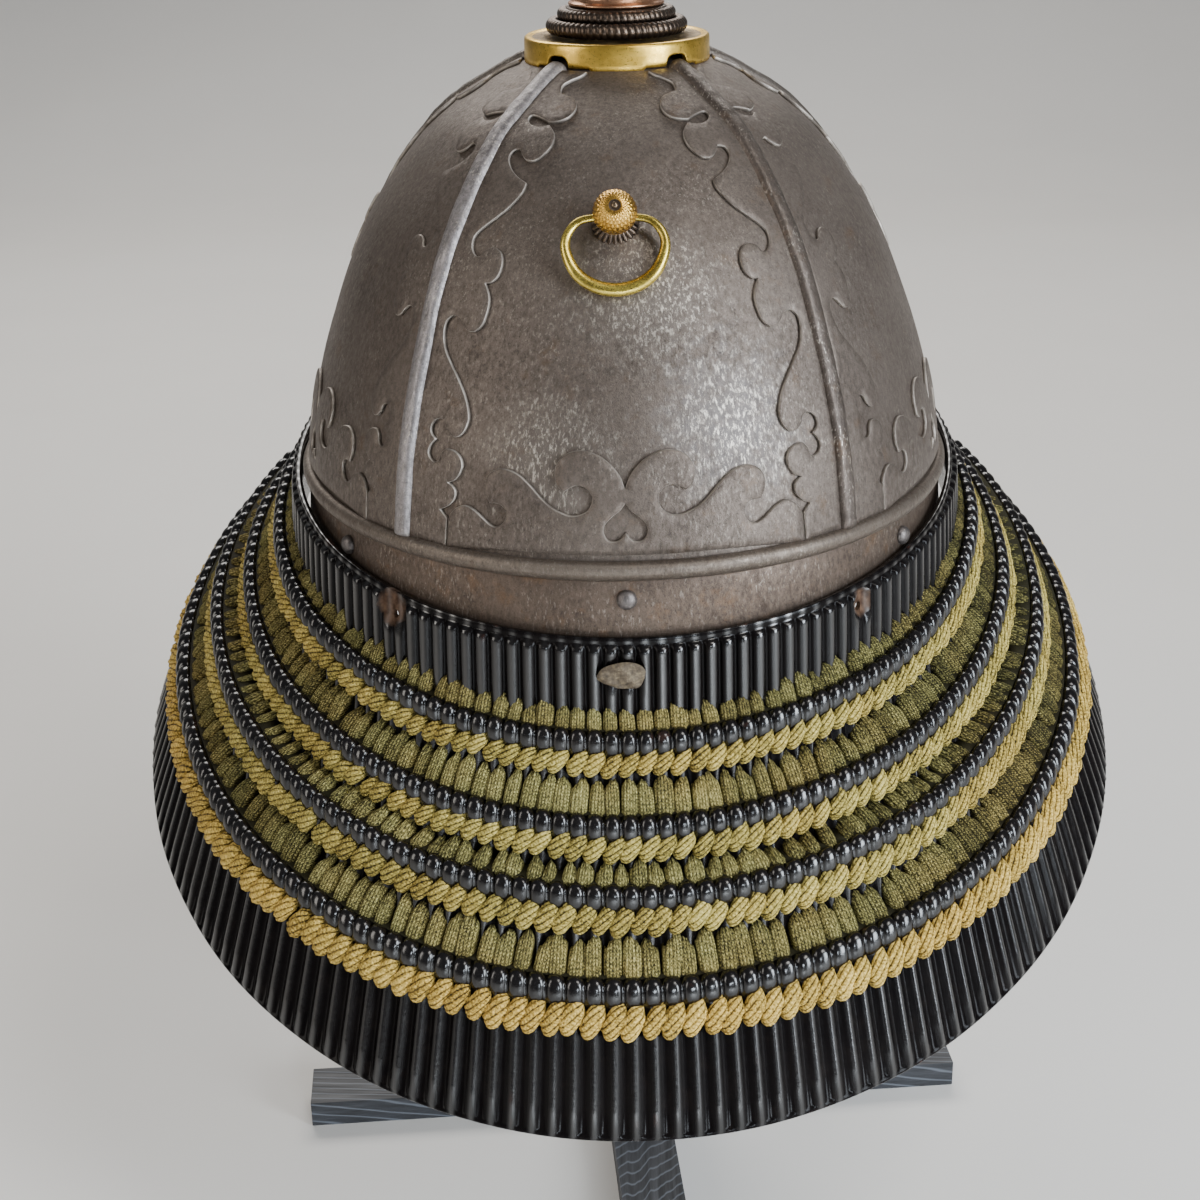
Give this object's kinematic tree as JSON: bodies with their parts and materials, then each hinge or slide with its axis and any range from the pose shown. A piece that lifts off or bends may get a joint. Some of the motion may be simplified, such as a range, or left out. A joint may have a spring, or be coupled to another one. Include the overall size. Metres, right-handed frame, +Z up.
{
  "type": "samurai helmet on a stand",
  "caption": "Samurai helmet with ribbed iron bowl, scroll-edged plates, brass crown fitting, hanging ring and flared laced neck guard, on a plain black wooden cross stand.",
  "frame": {"origin": "centre of the stand's cross foot, on its underside, below the helmet's axis", "axes": "+Z up, +Y the wearer's forward, +X the wearer's right"},
  "size_m": [0.3306, 0.3471, 0.412],
  "materials": {
    "bowl_iron": "russet iron, satin, worn silvery on the ribs",
    "band_iron": "redder russet iron, dull satin",
    "brass": "old gilt brass, polished on the edges",
    "bronze": "dark patinated bronze",
    "copper": "reddish copper alloy, satin",
    "lacquer": "gloss black lacquer",
    "lace": "flat braided silk, faded olive green",
    "rope_lace": "braided silk, faded olive gold",
    "leather": "brown hide lace",
    "stand_wood": "black stained softwood, open grain"
  },
  "bodies": {
    "helmet": {"band_rivet_1": "band_iron", "band_rivet_2": "band_iron", "band_rivet_3": "band_iron", "band_rivet_4": "band_iron", "band_rivet_5": "band_iron", "bowl_back": "bowl_iron", "bowl_front_left": "bowl_iron", "bowl_front_right": "bowl_iron", "bowl_side_left": "bowl_iron", "bowl_side_right": "bowl_iron", "crown_collar": "copper", "crown_plate": "brass", "frame_back": "bowl_iron", "frame_front_left": "bowl_iron", "frame_front_right": "bowl_iron", "frame_side_left": "bowl_iron", "frame_side_right": "bowl_iron", "lace_band_1": "lace", "lace_band_2": "lace", "lace_band_3": "lace", "lace_band_4": "lace", "lame_1": "lacquer", "lame_2": "lacquer", "lame_3": "lacquer", "lame_4": "lacquer", "lame_5": "lacquer", "leather_tie": "leather", "peak": "band_iron", "rib_back_left": "bowl_iron", "rib_back_right": "bowl_iron", "rib_front": "bowl_iron", "rib_side_left": "bowl_iron", "rib_side_right": "bowl_iron", "ring_stud": "brass", "rope_ring_lower": "bronze", "rope_ring_upper": "bronze", "rope_row_1": "rope_lace", "rope_row_2": "rope_lace", "rope_row_3": "rope_lace", "rope_row_4": "rope_lace", "stand_bar_across": "stand_wood", "stand_bar_along": "stand_wood", "stand_pad": "stand_wood", "stand_post": "stand_wood", "stud_base": "bronze", "waist_band": "band_iron", "waist_bead": "bowl_iron"},
    "ring": {"hanging_ring": "brass"}
  },
  "joints": [
    {"name": "ring_swing", "type": "hinge", "parent": "helmet", "child": "ring", "pos_m": [-0.0016, -0.08285, 0.35507], "axis": [-1, 0, 0], "range_deg": [0, 150]}
  ]
}
